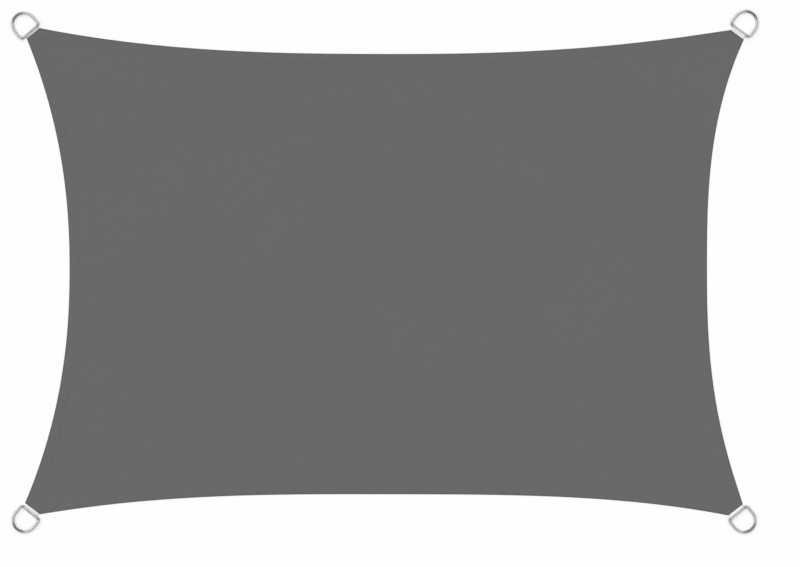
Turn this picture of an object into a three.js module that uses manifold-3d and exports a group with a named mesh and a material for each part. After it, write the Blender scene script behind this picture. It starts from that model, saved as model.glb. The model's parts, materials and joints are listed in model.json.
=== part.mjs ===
// A rectangular shade sail of 3 x 2 m, laid out flat with its right side up.
//
// The cloth has four inward-curving edges, a sewn hem all round and a short straight cut across
// each corner. A webbing loop is sewn into a pocket behind each cut and holds the straight bar of
// a D-ring. +X runs along the long side, +Y along the short side, +Z is up, and the cloth lies on
// the plane Z = 0. The origin is under the middle of the whole part.
//
// The cloth is one slab as thick as its folded hem with the webbing in it. The field is no thinner
// than the hem, so that collision pieces don't bridge a hollow.

import * as THREE from "three";
import { mergeVertices } from "three/addons/utils/BufferGeometryUtils.js";
import Module from "manifold-3d";

const wasm = await Module();
wasm.setup();

// ---------------------------------------------------------------- driving dimensions, millimetres

const CLOTH = {
  foldBevel: 0.8, // bevel that stands for the rounded fold of the hem
  pointsPerEdge: 40,
};

const HEM = {
  width: 42,
  seamWidth: 2.4, // the hem's seam is a shallow groove in the cloth's face
  seamDepth: 0.4,
};

// Each corner is cut straight across. x and y are the middle of the cut, measured from the middle
// of the cloth, and facing is the direction in degrees that the cut looks out to. turn, aside and
// reach place the ring's bar: turned from the cut, shifted along it, and standing out from it.
const CORNERS = [
  { name: "front_left", x: -1500.6, y: -1009.9, cut: 78, facing: 232.5, turn: -2.0, aside: -5, reach: 17.5 },
  { name: "front_right", x: 1495.5, y: -1015.2, cut: 77, facing: 307.5, turn: 1.5, aside: 2, reach: 15.0 },
  { name: "back_right", x: 1502.7, y: 1009.2, cut: 68, facing: 53.6, turn: -0.4, aside: -3, reach: 20.0 },
  { name: "back_left", x: -1497.3, y: 1015.2, cut: 70, facing: 129.4, turn: 1.8, aside: -5, reach: 12.6 },
];

// The edges run anticlockwise, each from its own row's corner to the next one. sag is how far the
// edge curves in from its chord, peak is where along it the sag is deepest, and fullness is 2 for
// a parabola and more for an edge that is flatter in its middle.
const EDGES = [
  { name: "front", sag: 88, peak: 0.511, fullness: 3.1 },
  { name: "right", sag: 155, peak: 0.522, fullness: 2.7 },
  { name: "back", sag: 106.5, peak: 0.515, fullness: 2.56 },
  { name: "left", sag: 186, peak: 0.502, fullness: 2.21 },
];

const WIRE = {
  radius: 5,
  sides: 12,
};

const RING = {
  halfWidth: 49.4, // bar's middle line to crown, sideways
  legEnd: 38.5, // where the straight legs pass into the bow
  height: 90.7, // bar's middle line to crown's middle line
  cornerRadius: 11,
  cornerSteps: 4,
  bowSteps: 21, // odd, so that one flat stretch lies across the crown
};

const TAPE = {
  width: 60,
  thickness: 0.9,
  tail: 42, // length of the two plies inside the pocket
  spread: 2.2, // the plies part this far outside the cut
  steps: 22,
};

const POCKET = {
  floor: 0.3, // cloth under the pocket
  roof: 0.3, // cloth over the pocket
};

const GAP = 0.3; // clearance between neighbouring pieces
const CLEAR = 0.05; // keeps the tilted ring's lowest edge off the plane Z = 0

const COLOURS = {
  cloth: 0x696969,
  webbing: 0xece9e0,
  steel: 0xb9bab8,
};

// ---------------------------------------------------------------------------- derived dimensions

const TAIL_BOTTOM = POCKET.floor + GAP;
const TAIL_TOP = TAIL_BOTTOM + 2 * TAPE.thickness;
const POCKET_TOP = TAIL_TOP + GAP;
const CLOTH_THICKNESS = POCKET_TOP + POCKET.roof; // the hem's plies with the webbing between them
const BARREL_INNER = WIRE.radius + GAP;
const BARREL_OUTER = BARREL_INNER + TAPE.thickness;
const WIRE_FLAT = WIRE.radius * Math.cos(Math.PI / WIRE.sides); // middle of the wire to its flats
const RING_TILT = Math.asin((BARREL_OUTER - WIRE_FLAT - CLEAR) / RING.height);

// ------------------------------------------------------------------------------- solids and back

function toSolid(geometry) {
  const bare = geometry.clone();
  bare.deleteAttribute("normal");
  bare.deleteAttribute("uv");
  const merged = mergeVertices(bare, 1e-4);
  return new wasm.Manifold(
    new wasm.Mesh({
      numProp: 3,
      vertProperties: new Float32Array(merged.attributes.position.array),
      triVerts: new Uint32Array(merged.index.array),
    }),
  );
}

function toGeometry(solid) {
  const mesh = solid.getMesh();
  const geometry = new THREE.BufferGeometry();
  geometry.setAttribute("position", new THREE.BufferAttribute(mesh.vertProperties, 3));
  geometry.setIndex(new THREE.BufferAttribute(mesh.triVerts, 1));
  geometry.computeVertexNormals();
  return geometry;
}

// ------------------------------------------------------------------------------ cloth's outline

function cutEnds(corner) {
  const facing = THREE.MathUtils.degToRad(corner.facing);
  const along = new THREE.Vector2(-Math.sin(facing), Math.cos(facing));
  const middle = new THREE.Vector2(corner.x, corner.y);
  return {
    start: middle.clone().addScaledVector(along, -corner.cut / 2),
    end: middle.clone().addScaledVector(along, corner.cut / 2),
  };
}

function sagAt(edge, t) {
  const evened = Math.pow(t, Math.log(0.5) / Math.log(edge.peak));
  return edge.sag * (1 - Math.pow(Math.abs(2 * evened - 1), edge.fullness));
}

// The outline, anticlockwise: each corner's cut, then the curved edge to the next corner.
function clothOutline() {
  const points = [];
  EDGES.forEach((edge, i) => {
    const from = cutEnds(CORNERS[i]).end;
    const to = cutEnds(CORNERS[(i + 1) % CORNERS.length]).start;
    const chord = to.clone().sub(from);
    const inward = new THREE.Vector2(-chord.y, chord.x).normalize();
    for (let k = 0; k <= CLOTH.pointsPerEdge; k++) {
      const t = k / CLOTH.pointsPerEdge;
      points.push(from.clone().addScaledVector(chord, t).addScaledVector(inward, sagAt(edge, t)));
    }
  });
  return points;
}

// The same outline moved in by a distance, with mitred corners.
function insetOutline(points, distance) {
  const count = points.length;
  return points.map((point, i) => {
    const before = point.clone().sub(points[(i + count - 1) % count]).normalize();
    const after = points[(i + 1) % count].clone().sub(point).normalize();
    const inward = new THREE.Vector2(-before.y - after.y, before.x + after.x).normalize();
    const mitre = inward.dot(new THREE.Vector2(-before.y, before.x));
    return point.clone().addScaledVector(inward, distance / mitre);
  });
}

// ---------------------------------------------------------------------------------------- cloth

// A closed body from loops of equal length, { inset, z } each, capped on the first and the last.
function loftLoops(outline, levels) {
  const loops = levels.map((level) => insetOutline(outline, level.inset));
  const count = outline.length;
  const positions = [];
  loops.forEach((loop, row) => {
    loop.forEach((point) => positions.push(point.x, point.y, levels[row].z));
  });
  const index = [];
  for (let row = 0; row + 1 < loops.length; row++) {
    for (let i = 0; i < count; i++) {
      const a = row * count + i;
      const b = row * count + ((i + 1) % count);
      index.push(a, b, b + count, a, b + count, a + count);
    }
  }
  const last = (loops.length - 1) * count;
  THREE.ShapeUtils.triangulateShape(loops[0], []).forEach(([a, b, c]) => index.push(a, c, b));
  THREE.ShapeUtils.triangulateShape(loops[loops.length - 1], []).forEach(([a, b, c]) => {
    index.push(last + a, last + b, last + c);
  });
  const geometry = new THREE.BufferGeometry();
  geometry.setAttribute("position", new THREE.Float32BufferAttribute(positions, 3));
  geometry.setIndex(index);
  return geometry;
}

// From the underside round the folded edge, over the hem and across its seam to the field.
const CLOTH_LEVELS = [
  { inset: CLOTH.foldBevel, z: 0 },
  { inset: 0, z: CLOTH.foldBevel },
  { inset: 0, z: CLOTH_THICKNESS - CLOTH.foldBevel },
  { inset: CLOTH.foldBevel, z: CLOTH_THICKNESS },
  { inset: HEM.width - HEM.seamWidth / 2, z: CLOTH_THICKNESS },
  { inset: HEM.width, z: CLOTH_THICKNESS - HEM.seamDepth },
  { inset: HEM.width + HEM.seamWidth / 2, z: CLOTH_THICKNESS },
];

// A box in a loop's own frame: u along the bar, v out of it and z up, from the cut's middle.
function cornerBox(corner, width, vMin, vMax, zMin, zMax) {
  const box = new THREE.BoxGeometry(width, vMax - vMin, zMax - zMin);
  box.translate(0, (vMin + vMax) / 2, (zMin + zMax) / 2);
  box.rotateZ(THREE.MathUtils.degToRad(corner.facing + corner.turn - 90));
  box.translate(corner.x, corner.y, 0);
  return toSolid(box);
}

function sailGeometry() {
  let sail = toSolid(loftLoops(clothOutline(), CLOTH_LEVELS));
  for (const corner of CORNERS) {
    const mouth = TAPE.width + 2 * GAP;
    const bottom = -TAPE.tail - GAP;
    sail = sail.subtract(cornerBox(corner, mouth, bottom, 20, POCKET.floor, POCKET_TOP));
  }
  return toGeometry(sail);
}

// --------------------------------------------------------------------------------- webbing loop

// The angle at which a straight line from a point outside touches a circle round (0, z), as the
// angle of the touching point. side is 1 for the upper of the two lines and -1 for the lower.
function touchAngle(point, z, radius, side) {
  const toPoint = Math.atan2(point.y - z, point.x);
  const distance = Math.hypot(point.x, point.y - z);
  return toPoint - side * Math.acos(radius / distance);
}

// The loop seen along the bar: x is out from the bar's middle, y is up. Both plies leave the
// pocket together, part outside the cut and pass round the bar.
function loopShape(reach) {
  const tailEnd = -reach - TAPE.tail;
  const parting = -reach + TAPE.spread;
  const upper = touchAngle({ x: parting, y: TAIL_TOP }, BARREL_OUTER, BARREL_OUTER, 1);
  const lower = touchAngle({ x: parting, y: TAIL_BOTTOM }, BARREL_OUTER, BARREL_OUTER, -1);
  const shape = new THREE.Shape();
  shape.moveTo(tailEnd, TAIL_BOTTOM);
  shape.lineTo(parting, TAIL_BOTTOM);
  shape.absarc(0, BARREL_OUTER, BARREL_OUTER, lower, upper, false);
  shape.lineTo(parting, TAIL_TOP);
  shape.lineTo(tailEnd, TAIL_TOP);

  // Inside, the two plies' faces are parallel to the outer ones and meet in a sharp corner.
  const half = (upper - lower + (upper < lower ? 2 * Math.PI : 0)) / 2;
  const middle = lower + half + Math.PI;
  const apex = BARREL_INNER / Math.cos(Math.PI - half);
  const hollow = new THREE.Path();
  hollow.absarc(0, BARREL_OUTER, BARREL_INNER, upper, lower, true);
  hollow.lineTo(apex * Math.cos(middle), BARREL_OUTER + apex * Math.sin(middle));
  hollow.closePath();
  shape.holes.push(hollow);
  return shape;
}

function loopGeometry(reach) {
  const extruded = new THREE.ExtrudeGeometry(loopShape(reach), {
    depth: TAPE.width,
    curveSegments: TAPE.steps,
    bevelEnabled: false,
  });
  extruded.translate(0, 0, -TAPE.width / 2);
  extruded.applyMatrix4(
    new THREE.Matrix4().makeBasis(
      new THREE.Vector3(0, 1, 0),
      new THREE.Vector3(0, 0, 1),
      new THREE.Vector3(1, 0, 0),
    ),
  );
  return toGeometry(toSolid(extruded));
}

// --------------------------------------------------------------------------------------- D-ring

// The wire's middle line, closed, as { u, v, angle }: angle is the outward direction there.
function ringPath() {
  const path = [];
  const straight = RING.halfWidth - RING.cornerRadius;
  for (let k = 0; k <= RING.cornerSteps; k++) {
    const angle = -Math.PI / 2 + (k / RING.cornerSteps) * (Math.PI / 2);
    path.push({
      u: straight + RING.cornerRadius * Math.cos(angle),
      v: RING.cornerRadius + RING.cornerRadius * Math.sin(angle),
      angle,
    });
  }
  const rise = RING.height - RING.legEnd;
  for (let k = 0; k <= RING.bowSteps; k++) {
    const sweep = (k / RING.bowSteps) * Math.PI;
    path.push({
      u: RING.halfWidth * Math.cos(sweep),
      v: RING.legEnd + rise * Math.sin(sweep),
      angle: Math.atan2(RING.halfWidth * Math.sin(sweep), rise * Math.cos(sweep)),
    });
  }
  for (let k = RING.cornerSteps; k >= 0; k--) {
    const { u, v, angle } = path[k];
    path.push({ u: -u, v, angle: Math.PI - angle });
  }
  return path;
}

// The wire swept round the whole path, with its ends joined. A flat of the wire faces the eye.
function ringGeometry() {
  const path = ringPath();
  const positions = [];
  for (const { u, v, angle } of path) {
    for (let s = 0; s < WIRE.sides; s++) {
      const round = ((s + 0.5) / WIRE.sides) * 2 * Math.PI;
      const out = WIRE.radius * Math.cos(round);
      positions.push(u + out * Math.cos(angle), v + out * Math.sin(angle), WIRE.radius * Math.sin(round));
    }
  }
  const index = [];
  for (let i = 0; i < path.length; i++) {
    for (let s = 0; s < WIRE.sides; s++) {
      const next = ((i + 1) % path.length) * WIRE.sides;
      const a = i * WIRE.sides + s;
      const b = i * WIRE.sides + ((s + 1) % WIRE.sides);
      const c = next + ((s + 1) % WIRE.sides);
      const d = next + s;
      index.push(a, d, c, a, c, b);
    }
  }
  const geometry = new THREE.BufferGeometry();
  geometry.setAttribute("position", new THREE.Float32BufferAttribute(positions, 3));
  geometry.setIndex(index);
  geometry.computeVertexNormals();
  return geometry;
}

// ------------------------------------------------------------------------------------- assembly

const MATERIALS = {
  cloth: new THREE.MeshStandardMaterial({ color: COLOURS.cloth, roughness: 0.9, metalness: 0 }),
  webbing: new THREE.MeshStandardMaterial({ color: COLOURS.webbing, roughness: 0.85, metalness: 0 }),
  steel: new THREE.MeshStandardMaterial({ color: COLOURS.steel, roughness: 0.3, metalness: 1 }),
};

function namedMesh(name, geometry, material) {
  const mesh = new THREE.Mesh(geometry, material);
  mesh.name = name;
  return mesh;
}

// One corner's loop and ring, in a group whose X is along the cut and whose Y is out of it.
function cornerGroup(corner) {
  const group = new THREE.Group();
  group.position.set(corner.x, corner.y, 0);
  group.rotation.z = THREE.MathUtils.degToRad(corner.facing + corner.turn - 90);
  const loop = namedMesh("corner_loop_" + corner.name, loopGeometry(corner.reach), MATERIALS.webbing);
  loop.position.set(0, corner.reach, 0);
  const ring = namedMesh("d_ring_" + corner.name, ringGeometry(), MATERIALS.steel);
  ring.position.set(corner.aside, corner.reach, BARREL_OUTER);
  ring.rotation.x = -RING_TILT;
  group.add(loop, ring);
  return group;
}

const shadeSail = new THREE.Group();
shadeSail.add(namedMesh("sail", sailGeometry(), MATERIALS.cloth));
for (const corner of CORNERS) shadeSail.add(cornerGroup(corner));

const bounds = new THREE.Box3().setFromObject(shadeSail, true);
const middle = bounds.getCenter(new THREE.Vector3());
shadeSail.position.set(-middle.x, -middle.y, 0);

export default shadeSail;
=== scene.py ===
"""Looks of a rectangular shade sail: hemmed cloth, webbing loops, D-rings and their stitching.

The file is laid out as an add-on and run as a script. Every size is in metres. The cloth's outline
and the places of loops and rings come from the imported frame.
"""

import json
import math

import bpy
import numpy as np
from bpy.props import FloatProperty, FloatVectorProperty, IntProperty, PointerProperty
from mathutils import Matrix, Vector
from mathutils.geometry import delaunay_2d_cdt


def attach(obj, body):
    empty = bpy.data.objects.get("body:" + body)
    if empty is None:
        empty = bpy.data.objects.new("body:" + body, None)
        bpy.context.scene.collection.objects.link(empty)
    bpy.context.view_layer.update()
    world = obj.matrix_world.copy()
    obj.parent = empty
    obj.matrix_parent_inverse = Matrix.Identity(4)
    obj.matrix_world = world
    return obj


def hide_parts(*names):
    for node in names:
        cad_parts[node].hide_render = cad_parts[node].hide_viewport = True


bl_info = {
    "name": "Shade sail",
    "version": (1, 0, 0),
    "blender": (4, 5, 0),
    "location": "View3D > Sidebar > Shade sail",
    "description": "Builds a hemmed shade sail with webbing loops and D-rings on its frame",
    "category": "Object",
}

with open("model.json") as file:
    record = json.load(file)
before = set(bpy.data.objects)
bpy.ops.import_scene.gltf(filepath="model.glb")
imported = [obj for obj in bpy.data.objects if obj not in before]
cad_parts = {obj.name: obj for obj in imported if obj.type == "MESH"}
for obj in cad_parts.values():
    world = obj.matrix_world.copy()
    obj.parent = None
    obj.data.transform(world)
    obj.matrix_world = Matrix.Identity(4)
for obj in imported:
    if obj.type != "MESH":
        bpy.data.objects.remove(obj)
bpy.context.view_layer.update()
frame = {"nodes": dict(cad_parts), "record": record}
MOUNTS = {mount["name"]: mount for mount in frame["record"]["mounts"]}
CORNERS = ("front_left", "front_right", "back_right", "back_left")
EDGES = ("front", "right", "back", "left")
MM = 0.001


# ------------------------------------------------------------------------------------ settings


def length(name, default, description):
    """A size that a user may change."""
    return FloatProperty(
        name=name, description=description, default=default, min=0.0, unit="LENGTH", precision=5
    )


def colour(name, default, description):
    """A colour that a user may change."""
    return FloatVectorProperty(
        name=name, description=description, default=default, size=3, min=0.0, max=1.0, subtype="COLOR"
    )


class ClothSettings(bpy.types.PropertyGroup):
    """Sizes and colour of the cloth and its hem"""

    tint: colour("Cloth", (0.112, 0.112, 0.112), "Colour of the woven cloth")
    thickness: length("Cloth thickness", 0.5 * MM, "Thickness of the single cloth")
    level: length("Cloth level", 0.9 * MM, "Height of the single cloth's upper face")
    hem_width: length("Hem width", 42 * MM, "Width of the folded hem")
    hem_thickness: length("Hem thickness", 2.0 * MM, "Height of the folded hem")
    hem_fall: length("Hem fall", 5 * MM, "Width of the slope from the hem to the single cloth")
    corner_thickness: length("Corner thickness", 2.95 * MM, "Height of the hem over the webbing")
    rim_level: length("Rim level", 0.8 * MM, "Height of the frame's outermost corners")
    turning: length("Turning", 52 * MM, "Width of cloth that was folded in all round")
    yarn: length("Yarn pitch", 0.9 * MM, "Distance between neighbouring yarns of the weave")
    wave: length("Wave", 0.9 * MM, "Height of the soft waves in the cloth as it lies")


class ThreadSettings(bpy.types.PropertyGroup):
    """Sizes and colour of the sewing thread"""

    tint: colour("Thread", (0.17, 0.17, 0.175), "Colour of the sewing thread")
    diameter: length("Thread diameter", 0.55 * MM, "Diameter of the thread")
    pitch: length("Stitch pitch", 4.2 * MM, "Distance from one stitch to the next")
    stitch: length("Stitch length", 3.5 * MM, "Length of thread that shows in one stitch")
    inner_row: length("Inner row", 39.5 * MM, "Distance of the hem's inner row from the edge")
    outer_row: length("Outer row", 34.5 * MM, "Distance of the hem's second row from the edge")
    box_margin: length("Box margin", 4 * MM, "Distance of the box seam from the webbing's sides")
    box_front: length("Box front", 5.5 * MM, "Distance of the box seam from the cut")
    box_back: length("Box back", 4.5 * MM, "Distance of the box seam from the hem's second row")
    sunk: length("Sunk", 0.25 * MM, "Depth to which the lower thread is drawn into the underside")


class LoopSettings(bpy.types.PropertyGroup):
    """Sizes and colour of the webbing loops"""

    tint: colour("Webbing", (0.92, 0.915, 0.885), "Colour of the webbing")
    width: length("Webbing width", 60 * MM, "Width of the webbing")
    thickness: length("Webbing thickness", 0.9 * MM, "Thickness of one ply")
    tail: length("Tail", 42 * MM, "Length of the sewn tail behind the cut")
    tail_level: length("Tail level", 0.6 * MM, "Height of the tail's lower face")
    spread: length("Spread", 2.2 * MM, "Distance outside the cut at which the plies part")
    rib: length("Rib pitch", 1.9 * MM, "Distance between neighbouring ribs of the webbing")
    yarn: length("Webbing yarn", 1.3 * MM, "Distance between the yarns that run along the webbing")


class RingSettings(bpy.types.PropertyGroup):
    """Sizes and colour of the D-rings"""

    tint: colour("Steel", (0.52, 0.52, 0.515), "Colour of the polished steel")
    wire: length("Wire diameter", 10 * MM, "Diameter of the ring's wire")
    half_width: length("Half width", 49.4 * MM, "Ring's middle to a leg's middle line")
    leg_end: length("Leg end", 38.5 * MM, "Bar's middle line to the end of the straight legs")
    height: length("Height", 90.7 * MM, "Bar's middle line to the bow's middle line")
    corner_radius: length("Corner radius", 11 * MM, "Bend between bar and leg, at the middle line")
    flats: IntProperty(
        name="Flats", description="Sides of the frame's wire", default=12, min=3, max=64
    )


class StageSettings(bpy.types.PropertyGroup):
    """Floor, light and camera"""

    floor: colour("Floor", (0.95, 0.95, 0.95), "Colour of the pale floor")
    lens: FloatProperty(name="Lens", description="Focal length in millimetres", default=200.0, min=1.0)
    field: length("Field", 3.408, "Width of floor that the camera sees")
    aim_x: FloatProperty(
        name="Aim X", description="Point of the floor under the camera", default=0.0655, unit="LENGTH"
    )
    aim_y: FloatProperty(
        name="Aim Y", description="Point of the floor under the camera", default=-0.0507, unit="LENGTH"
    )
    sky: FloatProperty(name="Sky", description="Strength of the soft sky light", default=0.56, min=0.0)
    lamp: FloatProperty(name="Lamp", description="Strength of the soft lamp", default=1.55, min=0.0)
    lamp_angle: FloatProperty(
        name="Lamp angle", description="Width of the lamp in the sky", default=1.5, subtype="ANGLE"
    )


GROUPS = {
    "shade_cloth": ClothSettings,
    "shade_thread": ThreadSettings,
    "shade_loop": LoopSettings,
    "shade_ring": RingSettings,
    "shade_stage": StageSettings,
}


# ------------------------------------------------------------------------------- shader writing


class Number:
    """A value on its way through a shader. The operators add Math nodes."""

    def __init__(self, graph, socket):
        self.graph = graph
        self.socket = socket

    def math(self, operation, *values):
        return self.graph.node("ShaderNodeMath", {"operation": operation}, dict(enumerate(values)))

    def __add__(self, other):
        return self.math("ADD", self, other)

    __radd__ = __add__

    def __sub__(self, other):
        return self.math("SUBTRACT", self, other)

    def __rsub__(self, other):
        return self.math("SUBTRACT", other, self)

    def __mul__(self, other):
        return self.math("MULTIPLY", self, other)

    __rmul__ = __mul__

    def __abs__(self):
        return self.math("ABSOLUTE", self)

    def sine(self):
        return self.math("SINE", self)

    def smooth(self, low, high):
        """0 below low, 1 above high and smooth between them."""
        inputs = {"Value": self, "From Min": low, "From Max": high}
        return self.graph.node("ShaderNodeMapRange", {"interpolation_type": "SMOOTHSTEP"}, inputs)


class Graph:
    """The node tree of one material or world, with its shader already joined to the output."""

    def __init__(self, owner, shader, **fixed):
        owner.use_nodes = True
        self.owner = owner
        self.tree = owner.node_tree
        self.shader = self.tree.nodes[shader]
        for socket, value in fixed.items():
            self.shader.inputs[socket.replace("_", " ")].default_value = value

    def node(self, kind, settings=None, inputs=None, output=0):
        """Adds a node, sets it, fills its sockets with numbers or links, and returns an output."""
        made = self.tree.nodes.new(kind)
        for key, value in (settings or {}).items():
            setattr(made, key, value)
        for key, value in (inputs or {}).items():
            if isinstance(value, Number):
                self.tree.links.new(value.socket, made.inputs[key])
            else:
                made.inputs[key].default_value = value
        return Number(self, made.outputs[output])

    def split(self, vector):
        """The three numbers of a vector."""
        x = self.node("ShaderNodeSeparateXYZ", None, {0: vector})
        return [Number(self, output) for output in x.socket.node.outputs]

    def object_position(self):
        """Where a point lies on the piece, in metres."""
        return self.node("ShaderNodeTexCoord", output="Object")

    def attribute(self, name):
        """A vector that the mesh stores on its points."""
        return self.node("ShaderNodeAttribute", {"attribute_name": name}, output="Vector")

    def noise(self, vector, scale, detail=2.0, stretch=(1.0, 1.0, 1.0)):
        """Noise from 0 to 1, drawn out along an axis where stretch is small."""
        inputs = {0: vector, 1: stretch}
        scaled = self.node("ShaderNodeVectorMath", {"operation": "MULTIPLY"}, inputs)
        return self.node("ShaderNodeTexNoise", None, {"Vector": scaled, "Scale": scale, "Detail": detail})

    def tinted(self, dark, light, factor):
        """A colour from dark at factor 0 to light at factor 1."""
        inputs = {"Factor": factor, "A": (*dark, 1.0), "B": (*light, 1.0)}
        return self.node("ShaderNodeMix", {"data_type": "RGBA"}, inputs, output="Result")

    def bump(self, height, distance, strength=1.0):
        """The normal of a surface that rises by distance where height is 1."""
        return self.node(
            "ShaderNodeBump", None, {"Height": height, "Distance": distance, "Strength": strength}
        )

    def join(self, **sockets):
        """Links values to the shader's own sockets."""
        for name, value in sockets.items():
            self.tree.links.new(value.socket, self.shader.inputs[name.replace("_", " ")])
        return self.owner


def material_graph(name, **fixed):
    """A new material, with the values of its shader that are the same all over."""
    return Graph(bpy.data.materials.new(name), "Principled BSDF", **fixed)


def shade(tint, factor):
    """A tint made darker or lighter."""
    return tuple(min(1.0, channel * factor) for channel in tint)


def plain_weave(graph, x, y, pitch_x, pitch_y):
    """Height from 0 to 1 of a plain weave, with one yarn for each pitch along x and y."""
    warp = (x * (math.pi / pitch_x)).sine()
    weft = (y * (math.pi / pitch_y)).sine()
    over = (warp * weft).smooth(-0.35, 0.35)
    return abs(warp) * over + abs(weft) * (1.0 - over)


def cloth_material(cloth):
    """Tightly woven matt polyester with faint slubs, with painted shade along the edge where it is folded
    over.
    """
    graph = material_graph("woven_cloth", Sheen_Weight=0.08, Sheen_Roughness=0.5)
    position = graph.object_position()
    x, y, _ = graph.split(position)
    _, inset, _ = graph.split(graph.attribute("hem"))
    weave = plain_weave(graph, x, y, cloth.yarn, cloth.yarn)
    weft_slubs = graph.noise(position, 520.0, 1.0, (0.07, 1.0, 1.0)).smooth(0.35, 0.7)
    warp_slubs = graph.noise(position, 520.0, 1.0, (1.0, 0.07, 1.0)).smooth(0.35, 0.7)
    clouds = graph.noise(position, 1.7, 3.0).smooth(0.3, 0.7)
    # painted shade: the colour darkens within a few millimetres of the folded edge
    fold_edge_shade = 1.0 - inset.smooth(1.5 * MM, 7 * MM)
    # the weave term lightens the yarns' crowns and darkens the grooves between them: painted shade
    tone = 0.54 + weave * 0.08 + (weft_slubs + warp_slubs) * 0.12 + clouds * 0.12 - fold_edge_shade * 0.5
    tint = graph.tinted(shade(cloth.tint, 0.66), shade(cloth.tint, 1.14), tone)
    roughness = 0.78 + clouds * 0.08 - fold_edge_shade * 0.05
    height = weave + (weft_slubs + warp_slubs) * 0.3
    return graph.join(Base_Color=tint, Roughness=roughness, Normal=graph.bump(height, 0.10 * MM, 0.5))


def thread_material(thread):
    """Two-ply bonded thread."""
    graph = material_graph("sewing_thread", Roughness=0.55, Sheen_Weight=0.1)
    position = graph.object_position()
    x, y, _ = graph.split(position)
    twist = ((x + y) * (2 * math.pi / (0.9 * MM))).sine()
    fleck = graph.noise(position, 400.0)
    tint = graph.tinted(shade(thread.tint, 0.8), shade(thread.tint, 1.2), fleck)
    return graph.join(Base_Color=tint, Normal=graph.bump(twist, 0.05 * MM, 0.6))


def webbing_material(loop):
    """Flat off-white webbing, with painted shade in its grooves, darker selvedges, and greyer over the
    top of the barrel round the bar.
    """
    graph = material_graph("webbing", Roughness=0.8, Sheen_Weight=0.15, Sheen_Roughness=0.4)
    across, along, lift = graph.split(graph.attribute("tape"))
    weave = plain_weave(graph, across, along, loop.yarn, loop.rib)
    soil = graph.noise(graph.object_position(), 60.0, 3.0).smooth(0.35, 0.75)
    selvedge = abs(across).smooth(0.44 * loop.width, 0.5 * loop.width)
    # greyer over the top of the barrel round the bar
    darker_band = lift.smooth(0.75, 0.97)
    # the weave term darkens the grooves between the yarns: painted shade
    tone = weave * 0.25 + 0.78 - soil * 0.06 - selvedge * 0.08 - darker_band * (0.65 + soil * 0.15)
    tint = graph.tinted((0.3, 0.3, 0.295), loop.tint, tone)
    return graph.join(Base_Color=tint, Normal=graph.bump(weave, 0.2 * MM, 0.8))


def steel_material(ring):
    """Polished stainless wire with fine draw marks, rougher where hooks and webbing rub it, with painted
    dark reflection on the bow's crown and the bends.
    """
    graph = material_graph("ring_steel", Metallic=1.0)
    wire = graph.attribute("wire")
    _, _, wear_and_shade = graph.split(wire)
    marks = graph.noise(wire, 1.0, 2.0, (60.0, 900.0, 0.0)).smooth(0.35, 0.65)
    spots = graph.noise(graph.object_position(), 260.0, 3.0).smooth(0.45, 0.75)
    dull_and_shade = wear_and_shade * (0.85 + 0.15 * spots)
    # painted dark reflection: the steel's colour darkens on the bow's crown and at the bends
    tint = graph.tinted(ring.tint, shade(ring.tint, 0.3), dull_and_shade)
    roughness = 0.3 + marks * 0.1 + dull_and_shade * 0.14 + spots * 0.05
    return graph.join(Base_Color=tint, Roughness=roughness, Normal=graph.bump(marks, 0.02 * MM, 0.4))


def floor_material(stage):
    """Pale matt studio floor."""
    graph = material_graph("pale_floor", Roughness=0.95, Specular_IOR_Level=0.0)
    grain = graph.noise(graph.object_position(), 6.0, 2.0)
    return graph.join(Base_Color=graph.tinted(shade(stage.floor, 0.995), stage.floor, grain))


# -------------------------------------------------------------------------------- mesh building


def add_mesh(name, points, faces, material, attributes=None):
    """A smooth mesh object from points and faces, with named vectors stored on its points."""
    mesh = bpy.data.meshes.new(name)
    mesh.from_pydata(np.asarray(points, float).tolist(), [], faces)
    mesh.polygons.foreach_set("use_smooth", [True] * len(mesh.polygons))
    for key, values in (attributes or {}).items():
        layer = mesh.attributes.new(key, "FLOAT_VECTOR", "POINT")
        layer.data.foreach_set("vector", np.asarray(values, np.float32).ravel())
    mesh.materials.append(material)
    mesh.update()
    made = bpy.data.objects.new(name, mesh)
    bpy.context.scene.collection.objects.link(made)
    return made


def grid_faces(ids):
    """Quads of a grid of point numbers, wound so that they face rows-cross-columns."""
    corners = np.stack([ids[:-1, :-1], ids[1:, :-1], ids[1:, 1:], ids[:-1, 1:]], axis=-1)
    return corners.reshape(-1, 4).tolist()


def wrapped(ids, axis):
    """A grid of point numbers that closes on itself along an axis."""
    first = np.take(ids, [0], axis=axis)
    return np.concatenate([ids, first], axis=axis)


def smoothstep(value, low, high):
    """0 below low, 1 above high and smooth between them."""
    t = np.clip((np.asarray(value, float) - low) / (high - low), 0.0, 1.0)
    return t * t * (3 - 2 * t)


def run_lengths(line):
    """The length along a line of points, at each of its points."""
    steps = np.linalg.norm(np.diff(line, axis=0), axis=1)
    return np.concatenate([[0.0], np.cumsum(steps)])


def along_line(line, lengths, places):
    """Points of a line at given lengths along it."""
    columns = [np.interp(places, lengths, column) for column in line.T]
    return np.stack(columns, axis=-1)


def unit(vectors):
    """Vectors brought to length 1."""
    return vectors / np.linalg.norm(vectors, axis=-1, keepdims=True)


def finish_piece(piece, nodes=()):
    """Rides a piece on the frame's root body and hides the frame's nodes that it stands for."""
    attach(piece, "root")
    if nodes:
        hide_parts(*nodes)
    return piece


def node_points(name):
    """The points of one of the frame's nodes."""
    mesh = frame["nodes"][name].data
    points = np.zeros(len(mesh.vertices) * 3)
    mesh.vertices.foreach_get("co", points)
    return points.reshape(-1, 3)


# ------------------------------------------------------------------------------ cloth's outline


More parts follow.
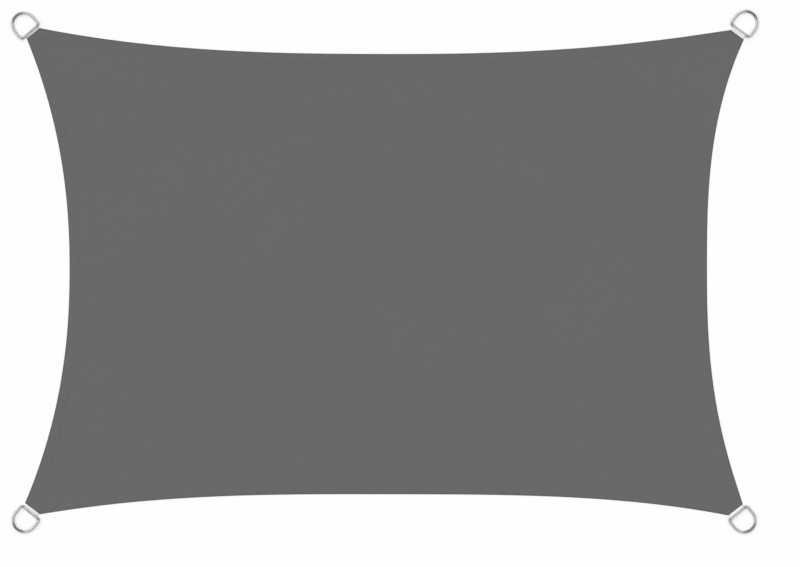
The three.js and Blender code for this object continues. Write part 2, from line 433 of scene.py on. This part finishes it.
class Stretch:
    """One smooth stretch of the outline, a cut or an edge, by length along it."""

    FIRST = 1.2 * MM  # its first point past each end
    FINE = 2.5 * MM  # spacing near its ends, where the webbing lies under the hem
    FINE_REACH = 130 * MM
    COARSE = 8 * MM  # spacing over the rest
    CUT_POINTS = 30

    def __init__(self, points):
        self.line = self.smoothed(points) if len(points) > 2 else np.linspace(*points, self.CUT_POINTS)
        self.along = run_lengths(self.line)
        self.length = self.along[-1]
        self.is_cut = len(points) == 2
        self.shares = self.spaced() / self.length

    def spaced(self):
        """Lengths of its mesh points without the last: close together near both ends."""
        near = np.concatenate([[0.0, self.FIRST], np.arange(self.FINE, self.FINE_REACH, self.FINE)])
        near = near[near < self.length / 2 - self.FINE]
        gap = self.length - 2 * near[-1]
        middle = np.linspace(0.0, gap, math.ceil(gap / self.COARSE) + 1)[1:-1] + near[-1]
        return np.concatenate([near, middle, self.length - near[:0:-1]])

    @staticmethod
    def smoothed(points, parts=12):
        """A curve through all the points, with its own direction carried on past both ends."""
        first = 2 * points[0] - points[1]
        last = 2 * points[-1] - points[-2]
        held = np.vstack([first, points, last])
        a, b, c, d = held[:-3], held[1:-2], held[2:-1], held[3:]
        t = (np.arange(parts) / parts)[:, None, None]
        curve = 2 * b + (c - a) * t + (2 * a - 5 * b + 4 * c - d) * t**2 + (3 * b - a - 3 * c + d) * t**3
        line = (curve / 2).transpose(1, 0, 2).reshape(-1, 2)
        return np.vstack([line, points[-1]])

    def at(self, along):
        """Its points at given lengths."""
        return along_line(self.line, self.along, along)

    def inward(self, along):
        """Directions into the cloth, square to the stretch."""
        step = 2 * MM
        ahead = self.at(np.minimum(along + step, self.length))
        heading = unit(ahead - self.at(np.maximum(along - step, 0.0)))
        return np.stack([-heading[..., 1], heading[..., 0]], axis=-1)


class Outline:
    """The cloth's edge, anticlockwise, as cut, edge, cut, edge ... from the front left cut."""

    SAME_LEVEL = 0.02 * MM
    SAME_POINT = 0.5 * MM
    LONGEST_CUT = 200 * MM
    PROBE = 1.5 * MM  # spacing of the points that distances are taken from

    def __init__(self, cloth):
        points = node_points("sail")
        rim = points[np.abs(points[:, 2] - cloth.rim_level) < self.SAME_LEVEL][:, :2]
        rim = rim[np.argsort(np.arctan2(rim[:, 1], rim[:, 0]))]
        rim = rim[np.linalg.norm(rim - np.roll(rim, 1, axis=0), axis=1) > self.SAME_POINT]
        before = rim - np.roll(rim, 1, axis=0)
        after = np.roll(rim, -1, axis=0) - rim
        turn = np.arctan2(
            before[:, 0] * after[:, 1] - before[:, 1] * after[:, 0], (before * after).sum(axis=1)
        )
        bends = np.sort(np.argsort(turn)[-2 * len(CORNERS) :])
        self.stretches = []
        for here, there in zip(bends, np.roll(bends, -1)):
            last = there if there > here else there + len(rim)
            if np.linalg.norm(rim[here] - rim[there]) < self.LONGEST_CUT:
                picked = np.array([here, there])
            else:
                picked = np.arange(here, last + 1) % len(rim)
            self.stretches.append(Stretch(rim[picked]))
        if not self.stretches[0].is_cut:
            self.stretches = self.stretches[1:] + self.stretches[:1]
        if [s.is_cut for s in self.stretches] != [True, False] * len(CORNERS):
            raise RuntimeError("The frame's sail doesn't have a cut at each corner")
        self.half_turns = [self.half_turn(i) for i in range(len(self.stretches))]
        self.starts = np.concatenate([[0.0], np.cumsum([s.length for s in self.stretches])])
        fine = [s.at(np.arange(0.0, s.length, self.PROBE)) for s in self.stretches]
        self.fine = np.vstack(fine)

    def half_turn(self, i):
        """Tangent of half the angle by which the outline turns where stretch i begins."""
        before = self.stretches[i - 1]
        dot = float(before.inward(np.array(before.length)) @ self.stretches[i].inward(np.array(0.0)))
        return math.sqrt((1 - dot) / (1 + dot))

    def corner_point(self, i, distance):
        """The mitred corner where stretch i begins, on the outline moved in by a distance."""
        before = self.stretches[i - 1]
        after = self.stretches[i]
        both = before.inward(np.array(before.length)) + after.inward(np.array(0.0))
        return after.at(0.0) + distance * both * 2 / (both @ both)

    def inset_stretch(self, i, distance, shares):
        """Points of one stretch moved in, and their lengths along the outline."""
        stretch = self.stretches[i]
        start = distance * self.half_turns[i]
        end = stretch.length - distance * self.half_turns[(i + 1) % len(self.stretches)]
        along = start + (end - start) * shares
        row = stretch.at(along) + distance * stretch.inward(along)
        return row, along + self.starts[i], np.minimum(along - start, end - along)

    def inset(self, distance):
        """The outline moved in, its lengths, and how far each point is from the next mitre."""
        rows, lengths, beside = [], [], []
        for i, stretch in enumerate(self.stretches):
            row, along, near = self.inset_stretch(i, distance, stretch.shares)
            row[0] = self.corner_point(i, distance)
            rows.append(row)
            lengths.append(along)
            beside.append(near)
        return np.vstack(rows), np.concatenate(lengths), np.concatenate(beside)

    def distance_in(self, points):
        """Distance of points from the edge."""
        nearest = np.full(len(points), np.inf)
        for chunk in np.array_split(np.arange(len(points)), max(1, len(points) // 400)):
            apart = points[chunk, None, :] - self.fine[None, :, :]
            nearest[chunk] = np.sqrt((apart**2).sum(axis=-1)).min(axis=1)
        return nearest


# ---------------------------------------------------------------------------------------- cloth


class LoopFrame:
    """Where a corner's webbing lies: u across it, v out along it, from the bar's middle."""

    def __init__(self, name, loop):
        axis = np.array(MOUNTS["ring_crown_" + name]["axis"][:2])
        self.out = -unit(axis)
        self.side = np.array([self.out[1], -self.out[0]])
        points = node_points("corner_loop_" + name)
        across = points[:, :2] @ self.side
        outward = points[:, :2] @ self.out
        self.bar_level = points[:, 2].max() / 2
        self.middle = (across.min() + across.max()) / 2
        self.bar = outward.max() - self.bar_level
        self.reach = self.bar - outward.min() - loop.tail

    def place(self, u, v):
        """A point of the floor from its place in the webbing."""
        u = np.asarray(u, float)[..., None]
        v = np.asarray(v, float)[..., None]
        return (self.middle + u) * self.side + (self.bar + v) * self.out

    def over_tail(self, points, loop):
        """1 over the webbing's sewn tail, 0 well away from it and smooth between."""
        u = points @ self.side - self.middle
        v = points @ self.out - self.bar
        beside = np.abs(u) - loop.width / 2
        behind = -v - self.reach - loop.tail
        return 1 - smoothstep(np.maximum(beside, behind), MM, 5 * MM)


class HemSection:
    """The hem's section, and the height of its upper face anywhere on the cloth.

    A section is pairs of distance in from the edge and height. It dips at the two rows of stitches.
    """

    def __init__(self, cloth, thread, loop):
        top = cloth.hem_thickness
        end = cloth.hem_width
        low = cloth.level - cloth.thickness
        outer = thread.outer_row
        inner = thread.inner_row
        self.under = [
            (end + cloth.hem_fall, low),
            (end, 0.02 * MM),
            (0.6 * top, 0.0),
            (0.27 * top, 0.07 * top),
            (0.07 * top, 0.25 * top),
        ]
        self.upper = [
            (0.0, 0.5 * top),
            (0.07 * top, 0.75 * top),
            (0.27 * top, 0.93 * top),
            (0.6 * top, top),
            (4 * MM, 1.02 * top),
            (8 * MM, 1.03 * top),
            (12 * MM, 1.02 * top),
            (17 * MM, 1.01 * top),
            (22 * MM, top),
            (27 * MM, top),
            (outer - 2.4 * MM, 0.98 * top),
            (outer, 0.86 * top),
            (outer + 2.5 * MM, 0.95 * top),
            (inner, 0.84 * top),
            (inner + 1.6 * MM, 0.90 * top),
            (end, 0.84 * top),
            (end + 0.5 * MM, 0.68 * top),
            (end + 1.2 * MM, cloth.level + 0.18 * MM),
            (end + 3 * MM, cloth.level + 0.04 * MM),
            (end + cloth.hem_fall, cloth.level),
        ]
        self.rise = cloth.corner_thickness / top - 1
        self.loop = loop
        self.frames = [LoopFrame(name, loop) for name in CORNERS]

    def lifted(self, points, heights):
        """Heights with the webbing's tail under them."""
        over = sum(f.over_tail(points, self.loop) for f in self.frames)
        return heights * (1 + self.rise * over)

    def height(self, points, insets):
        """Height of the upper face at points of the floor."""
        insets = np.broadcast_to(insets, len(points))
        return self.lifted(points, np.interp(insets, *np.array(self.upper).T))


def waves(x, y, inset, cloth):
    """Height of the cloth's soft waves, which die away towards the hem."""
    swells = (
        (0.34, 2.1, 0.6, 0.3),
        (0.28, -1.3, 3.3, 1.9),
        (0.22, 4.1, 2.6, 4.4),
        (0.16, -5.2, 4.3, 0.9),
    )
    height = sum(
        share * np.sin(math.pi * (across * x + along * y) + phase)
        for share, across, along, phase in swells
    )
    return cloth.wave * (1 + height) * smoothstep(inset, 0.06, 0.35)


FIELD_ROWS = ((54 * MM, 10 * MM), (66 * MM, 14 * MM), (82 * MM, 18 * MM))  # inset and spacing
FIELD_PITCH = 25 * MM
FIELD_INSET = 98 * MM


def field_points(outline, rim):
    """Points of the single cloth: rows beside the hem and a grid over the rest."""
    rows = []
    for inset, spacing in FIELD_ROWS:
        for i, stretch in enumerate(outline.stretches):
            if not stretch.is_cut:
                shares = np.linspace(0.0, 1.0, round(stretch.length / spacing))
                row = outline.inset_stretch(i, inset, shares)[0]
                rows.append(row[outline.distance_in(row) > inset - MM])
    xs = np.arange(rim[:, 0].min(), rim[:, 0].max(), FIELD_PITCH)
    ys = np.arange(rim[:, 1].min(), rim[:, 1].max(), FIELD_PITCH)
    grid = np.array([(x, y) for x in xs for y in ys])
    angles = np.arctan2(rim[:, 1], rim[:, 0])
    order = np.argsort(angles)
    away = np.linalg.norm(rim[order], axis=1)
    allowed = np.interp(np.arctan2(grid[:, 1], grid[:, 0]), angles[order], away, period=2 * math.pi)
    grid = grid[np.linalg.norm(grid, axis=1) < allowed]
    return np.vstack([*rows, grid[outline.distance_in(grid) > FIELD_INSET]])


MITRE_DIP = 0.3 * MM
MITRE_WIDTH = 1.3 * MM


def build_cloth(cloth, section, outline):
    """The whole cloth as one closed sheet: underside, folded hem and field."""
    loops, marks = [], []
    for number, (inset, height) in enumerate(section.under + section.upper):
        row, lengths, beside = outline.inset(inset)
        heights = section.lifted(row, np.full(len(row), height))
        if number >= len(section.under) and 2 * MM < inset < cloth.hem_width:
            heights -= MITRE_DIP * np.exp(-((beside / MITRE_WIDTH) ** 2))
        loops.append(np.column_stack([row, heights]))
        marks.append(np.column_stack([lengths, np.full(len(row), inset), np.zeros(len(row))]))
    rows, columns = len(loops), len(loops[0])
    band = wrapped(np.arange(rows * columns).reshape(rows, columns), 1)
    faces = grid_faces(band[::-1])

    # The field inside the hem: points joined to the innermost loop, once for each face.
    rim = loops[-1][:, :2]
    flat = [Vector(p) for p in np.vstack([rim, field_points(outline, rim)])]
    points, _, triangles, sources, _, _ = delaunay_2d_cdt(flat, [], [list(range(columns))], 1, 1e-6)
    inner = np.array([tuple(p) for p in points])
    source = np.array([ids[0] if ids else -1 for ids in sources])
    on_rim = (source >= 0) & (source < columns)
    depth = outline.distance_in(inner)
    height = waves(inner[:, 0], inner[:, 1], depth, cloth)
    top = np.column_stack([inner, cloth.level + height])
    low = np.column_stack([inner, cloth.level - cloth.thickness + height])
    start_top = rows * columns
    upper = np.where(on_rim, (rows - 1) * columns + source, start_top + np.arange(len(inner)))
    lower = np.where(on_rim, source, start_top + len(inner) + np.arange(len(inner)))
    triangles = np.array(triangles)
    faces += upper[triangles].tolist() + lower[triangles[:, ::-1]].tolist()

    points = np.vstack([*loops, top, low])
    inner_marks = np.column_stack([np.zeros(len(inner)), depth, np.zeros(len(inner))])
    marks = np.vstack([*marks, inner_marks, inner_marks])
    used = np.unique(np.concatenate([np.ravel(face) for face in faces]))
    renumber = np.zeros(len(points), int)
    renumber[used] = np.arange(len(used))
    faces = [renumber[face].tolist() for face in faces]
    return add_mesh("sail_cloth", points[used], faces, cloth_material(cloth), {"hem": marks[used]})


# ------------------------------------------------------------------------------------- stitches


# A stitch's ends and its two shoulders: share of its length, height and width in thread radii.
STITCH_STATIONS = (
    (-0.5, -1.2, 0.55),
    (-0.34, 0.35, 0.95),
    (0.34, 0.35, 0.95),
    (0.5, -1.2, 0.55),
)


def stitch_mesh(name, runs, thread, material, sides=5):
    """Every stitch of some runs as one mesh, on the cloth and again on its underside.

    A run is points along the seam, on the cloth's upper face.
    """
    middles, headings = [], []
    for run in runs:
        lengths = run_lengths(run)
        count = int(lengths[-1] / thread.pitch)
        places = (np.arange(count) + 0.5) * lengths[-1] / max(count, 1)
        middles.append(along_line(run, lengths, places))
        ahead = along_line(run, lengths, places + MM)
        headings.append(unit(ahead - along_line(run, lengths, places - MM)))
    level = np.array([1.0, 1.0, 0.0])
    middle = np.vstack(middles)
    heading = np.vstack(headings)
    facing = np.repeat([1.0, -1.0], len(middle))[:, None]
    middle = np.vstack([middle, middle * level + np.array([0.0, 0.0, thread.sunk])])
    heading = np.vstack([heading, unit(heading * level)])
    side = facing * unit(np.cross(heading, [0.0, 0.0, 1.0]))
    up = facing * np.array([0.0, 0.0, thread.diameter / 2])
    around = []
    for share, lift, width in STITCH_STATIONS:
        centre = middle + heading * (share * thread.stitch) + up * lift
        for k in range(sides):
            angle = 2 * math.pi * k / sides
            off = side * (width * thread.diameter / 2 * math.cos(angle))
            around.append(centre + off + up * (width * math.sin(angle)))
    points = np.stack(around, axis=1)
    each = points.shape[1]
    ids = np.arange(each).reshape(len(STITCH_STATIONS), sides)
    one = grid_faces(wrapped(ids, 1)) + [ids[0].tolist(), ids[-1][::-1].tolist()]
    faces = [[i + start for i in face] for start in range(0, len(points) * each, each) for face in one]
    return add_mesh(name, points.reshape(-1, 3), faces, material)


def hem_runs(outline, section, number, thread):
    """The two rows of stitches along one stretch of the hem."""
    runs = []
    shares = np.linspace(0.0, 1.0, 400)
    for inset in (thread.outer_row, thread.inner_row):
        row, _, _ = outline.inset_stretch(number, inset, shares)
        runs.append(np.column_stack([row, section.height(row, inset)]))
    return runs


def box_runs(outline, section, corner, thread):
    """A box with a cross in it, sewn through the hem and the webbing's tail."""
    loop = section.loop
    place = section.frames[corner]
    half = loop.width / 2 - thread.box_margin
    front = -place.reach - thread.box_front
    back = -place.reach - thread.outer_row + thread.box_back
    corners = [(-half, front), (half, front), (half, back), (-half, back)]
    pairs = ((0, 1), (1, 2), (2, 3), (3, 0), (0, 2), (1, 3))
    runs = []
    for start, end in pairs:
        line = np.linspace(corners[start], corners[end], 60)
        floor = place.place(line[:, 0], line[:, 1])
        insets = outline.distance_in(floor)
        keep = insets > thread.box_margin - MM
        heights = section.height(floor[keep], insets[keep])
        runs.append(np.column_stack([floor[keep], heights]))
    return runs


# -------------------------------------------------------------------------------- webbing loops


def touch_angle(point, centre, radius, side):
    """Angle on a circle where a line from a point outside touches it, on the chosen side."""
    apart = point - centre
    return math.atan2(apart[1], apart[0]) - side * math.acos(radius / np.linalg.norm(apart))


BARREL_POINTS = 60
TAPE_STEP = 0.7 * MM


def tape_line(place, loop):
    """The webbing's middle line, out of the pocket, round the bar and back: v and height."""
    ply = loop.thickness / 2
    hidden = -place.reach - 0.5 * loop.tail
    parting = -place.reach + loop.spread
    lower = np.array([parting, loop.tail_level + ply])
    upper = np.array([parting, loop.tail_level + 3 * ply])
    centre = np.array([0.0, place.bar_level])
    radius = place.bar_level - ply
    start = touch_angle(lower, centre, radius, -1)
    end = touch_angle(upper, centre, radius, 1)
    end += 2 * math.pi if end < start else 0.0
    turn = np.linspace(start, end, BARREL_POINTS)
    barrel = centre + radius * np.column_stack([np.cos(turn), np.sin(turn)])
    corners = np.vstack([[hidden, lower[1]], lower, barrel, upper, [hidden, upper[1]]])
    lengths = run_lengths(corners)
    places = np.linspace(0.0, lengths[-1], round(lengths[-1] / TAPE_STEP))
    line = along_line(corners, lengths, places)
    for _ in range(2):
        line[1:-1] = (line[:-2] + 2 * line[1:-1] + line[2:]) / 4
    return line, places


def tape_section(loop, columns=44, ends=6):
    """The webbing's section, with a slightly thicker selvedge: across it and out of its face."""
    half = loop.width / 2
    ply = loop.thickness / 2
    flat = np.linspace(-half + ply, half - ply, columns)
    bead = 1 + 0.12 * smoothstep(np.abs(flat), half - 4 * MM, half - 1.5 * MM)
    turn = np.linspace(math.pi / 2, -math.pi / 2, ends + 2)[1:-1]
    right = np.column_stack([half - ply + ply * np.cos(turn), 1.12 * ply * np.sin(turn)])
    top = np.column_stack([flat, ply * bead])
    return np.vstack([top, right, -top, -right])


def build_loop(name, loop, material):
    """One corner's webbing, as its section carried along its middle line."""
    place = LoopFrame(name, loop)
    line, along = tape_line(place, loop)
    heading = unit(np.gradient(line, axis=0))
    facing = np.column_stack([heading[:, 1], -heading[:, 0]])
    section = tape_section(loop)
    u = np.broadcast_to(section[:, 0], (len(line), len(section)))
    v = line[:, None, 0] + section[:, 1] * facing[:, None, 0]
    z = line[:, None, 1] + section[:, 1] * facing[:, None, 1]
    points = np.concatenate([place.place(u, v), z[..., None]], axis=-1).reshape(-1, 3)
    ids = np.arange(len(line) * len(section)).reshape(len(line), len(section))
    faces = grid_faces(wrapped(ids, 1)) + [ids[0].tolist(), ids[-1][::-1].tolist()]
    lift = z.ravel() / (2 * place.bar_level)
    marks = np.column_stack([u.ravel(), np.repeat(along, len(section)), lift])
    return add_mesh("webbing_loop_" + name, points, faces, material, {"tape": marks})


# --------------------------------------------------------------------------------------- D-rings


RING_POINTS = 240


def ring_line(ring):
    """The wire's middle line, closed and evenly spaced: u along the bar and v out of it."""
    straight = ring.half_width - ring.corner_radius
    bend = np.linspace(-math.pi / 2, 0.0, 24)
    corner = np.column_stack(
        [straight + ring.corner_radius * np.cos(bend), ring.corner_radius * (1 + np.sin(bend))]
    )
    sweep = np.linspace(0.0, math.pi, 120)
    rise = ring.height - ring.leg_end
    bow = np.column_stack([ring.half_width * np.cos(sweep), ring.leg_end + rise * np.sin(sweep)])
    mirrored = corner[::-1] * np.array([-1.0, 1.0])
    line = np.vstack([corner, bow, mirrored, corner[:1]])
    lengths = run_lengths(line)
    places = np.arange(RING_POINTS) * lengths[-1] / RING_POINTS
    return along_line(line, lengths, places), places


def ring_wear_and_painted_shade(line, ring):
    """Near 1 on the bow's crown, where hooks rub it, and at the bends, where the webbing's edges rub
    them; else 0. The steel is rougher there as wear and darker there as painted dark reflection.
    """
    # middle of the band at each bend that gets painted dark reflection
    darker_band = 42 * MM
    width = 5 * MM
    reach = line[:, 1] / ring.height
    bow = smoothstep(reach, 0.8, 0.98)
    bend = np.exp(-(((np.abs(line[:, 0]) - darker_band) / width) ** 2)) * smoothstep(-reach, -0.12, 0.0)
    return bow + 0.8 * bend


def ring_place(name, ring):
    """The ring's turn and its bar's middle, from the flat at the inside of its bow."""
    mount = MOUNTS["ring_crown_" + name]
    out = -Vector(mount["axis"]).normalized()
    side = Vector((out.y, -out.x, 0.0)).normalized()
    flat = ring.wire / 2 * math.cos(math.pi / ring.flats)
    bar = Vector(mount["pos_m"]) - out * (ring.height - flat)
    return Matrix((side, out, side.cross(out))).transposed(), bar


def weld_swell(line):
    """How much the wire swells at the butt weld in one leg."""
    place = 22 * MM
    width = 1.1 * MM
    return 0.05 * np.exp(-(((line[:, 1] - place) / width) ** 2)) * (line[:, 0] < 0)


def build_ring(name, ring, material, sides=28):
    """One corner's ring, as round wire along its middle line."""
    line, along = ring_line(ring)
    heading = unit(np.roll(line, -1, axis=0) - np.roll(line, 1, axis=0))
    outward = np.column_stack([heading[:, 1], -heading[:, 0]])
    radius = ring.wire / 2 * (1 + weld_swell(line))[:, None]
    turn = np.arange(sides) * 2 * math.pi / sides
    out = radius * np.cos(turn)
    u = line[:, None, 0] + out * outward[:, None, 0]
    v = line[:, None, 1] + out * outward[:, None, 1]
    local = np.stack([u, v, radius * np.sin(turn) + 0 * u], axis=-1).reshape(-1, 3)
    turned, bar = ring_place(name, ring)
    points = local @ np.array(turned).T + np.array(bar)
    ids = np.arange(len(line) * sides).reshape(len(line), sides)
    faces = grid_faces(wrapped(wrapped(ids, 0), 1))
    around = np.tile(np.abs(turn / math.pi - 1) * 0.01, len(line))
    # third value: rougher, worn steel and painted dark reflection on the crown and bends
    wear_and_shade = np.repeat(ring_wear_and_painted_shade(line, ring), sides)
    marks = np.column_stack([np.repeat(along, sides), around, wear_and_shade])
    return add_mesh("steel_ring_" + name, points, faces, material, {"wire": marks})


# ------------------------------------------------------------------------------------ operators


def sewing(context):
    """The outline and the hem's section, as the cloth and its stitches need them."""
    scene = context.scene
    outline = Outline(scene.shade_cloth)
    return outline, HemSection(scene.shade_cloth, scene.shade_thread, scene.shade_loop)


class SHADE_OT_cloth(bpy.types.Operator):
    """Build the cloth with its folded hem"""

    bl_idname = "shade.cloth"
    bl_label = "Cloth"

    def execute(self, context):
        outline, section = sewing(context)
        finish_piece(build_cloth(context.scene.shade_cloth, section, outline), ["sail"])
        return {"FINISHED"}


class SHADE_OT_stitching(bpy.types.Operator):
    """Sew the hem's two rows of stitches and the boxed crosses over the webbing's tails"""

    bl_idname = "shade.stitching"
    bl_label = "Stitching"

    def execute(self, context):
        outline, section = sewing(context)
        thread = context.scene.shade_thread
        material = thread_material(thread)
        for number, name in enumerate(EDGES):
            runs = hem_runs(outline, section, 2 * number + 1, thread)
            finish_piece(stitch_mesh("hem_stitching_" + name, runs, thread, material))
        for number, name in enumerate(CORNERS):
            runs = hem_runs(outline, section, 2 * number, thread)
            runs += box_runs(outline, section, number, thread)
            finish_piece(stitch_mesh("corner_stitching_" + name, runs, thread, material))
        return {"FINISHED"}


class SHADE_OT_loops(bpy.types.Operator):
    """Lay a webbing loop round each ring's bar"""

    bl_idname = "shade.loops"
    bl_label = "Webbing loops"

    def execute(self, context):
        loop = context.scene.shade_loop
        material = webbing_material(loop)
        for name in CORNERS:
            piece = build_loop(name, loop, material)
            finish_piece(piece, ["corner_loop_" + name])
        return {"FINISHED"}


class SHADE_OT_rings(bpy.types.Operator):
    """Bend the four D-rings"""

    bl_idname = "shade.rings"
    bl_label = "D-rings"

    def execute(self, context):
        ring = context.scene.shade_ring
        material = steel_material(ring)
        for name in CORNERS:
            piece = build_ring(name, ring, material)
            finish_piece(piece, ["d_ring_" + name])
        return {"FINISHED"}


class SHADE_OT_stage(bpy.types.Operator):
    """Lay the pale floor, hang the soft light and set the camera straight above"""

    bl_idname = "shade.stage"
    bl_label = "Stage"

    def execute(self, context):
        stage = context.scene.shade_stage
        context.scene.view_settings.view_transform = "Standard"
        context.scene.view_settings.look = "None"
        self.lay_floor(stage)
        self.light(context.scene, stage)
        self.set_camera(context.scene, stage)
        return {"FINISHED"}

    def lay_floor(self, stage):
        reach = 150.0
        below = -0.13 * MM
        sides = ((-1, -1), (1, -1), (1, 1), (-1, 1))
        corners = [(x * reach, y * reach, below) for x, y in sides]
        add_mesh("floor", corners, [[0, 1, 2, 3]], floor_material(stage))

    def light(self, scene, stage):
        """A sky that is bright overhead and greyer near the horizon, and one wide soft lamp."""
        scene.world = bpy.data.worlds.new("studio")
        graph = Graph(scene.world, "Background", Color=(1.0, 1.0, 1.0, 1.0))
        up = graph.split(graph.node("ShaderNodeTexCoord", output="Generated"))[2]
        sky = up.smooth(0.05, 0.75) * (1.1 * stage.sky) + 0.25 * stage.sky
        seen = graph.node("ShaderNodeLightPath", output="Is Camera Ray")
        graph.join(Strength=sky * (1 - seen) + seen * 0.98)
        lamp = bpy.data.lights.new("soft_lamp", "SUN")
        lamp.energy = stage.lamp
        lamp.angle = stage.lamp_angle
        holder = bpy.data.objects.new("soft_lamp", lamp)
        scene.collection.objects.link(holder)
        holder.location = (-3.0, 3.0, 6.0)
        holder.rotation_euler = (-holder.location).to_track_quat("-Z", "Y").to_euler()

    def set_camera(self, scene, stage):
        data = bpy.data.cameras.new("camera")
        data.lens = stage.lens
        data.sensor_width = 36.0
        data.clip_end = 500.0
        camera = bpy.data.objects.new("camera", data)
        scene.collection.objects.link(camera)
        camera.location = (stage.aim_x, stage.aim_y, stage.field * stage.lens / data.sensor_width)
        scene.camera = camera


STEPS = (
    SHADE_OT_cloth,
    SHADE_OT_stitching,
    SHADE_OT_loops,
    SHADE_OT_rings,
    SHADE_OT_stage,
)


class SHADE_PT_panel(bpy.types.Panel):
    """Lists the steps that build the sail, and the sizes they use"""

    bl_idname = "SHADE_PT_panel"
    bl_label = "Shade sail"
    bl_space_type = "VIEW_3D"
    bl_region_type = "UI"
    bl_category = "Shade sail"

    def draw(self, context):
        for step in STEPS:
            self.layout.operator(step.bl_idname)
        for key, group in GROUPS.items():
            box = self.layout.box()
            for name in group.__annotations__:
                box.prop(getattr(context.scene, key), name)


CLASSES = (*GROUPS.values(), *STEPS, SHADE_PT_panel)


def register():
    for cls in CLASSES:
        bpy.utils.register_class(cls)
    for key, group in GROUPS.items():
        setattr(bpy.types.Scene, key, PointerProperty(type=group))


def unregister():
    for key in GROUPS:
        delattr(bpy.types.Scene, key)
    for cls in reversed(CLASSES):
        bpy.utils.unregister_class(cls)


def main():
    register()
    for step in STEPS:
        group, name = step.bl_idname.split(".")
        getattr(getattr(bpy.ops, group), name)()


if __name__ == "__main__":
    main()
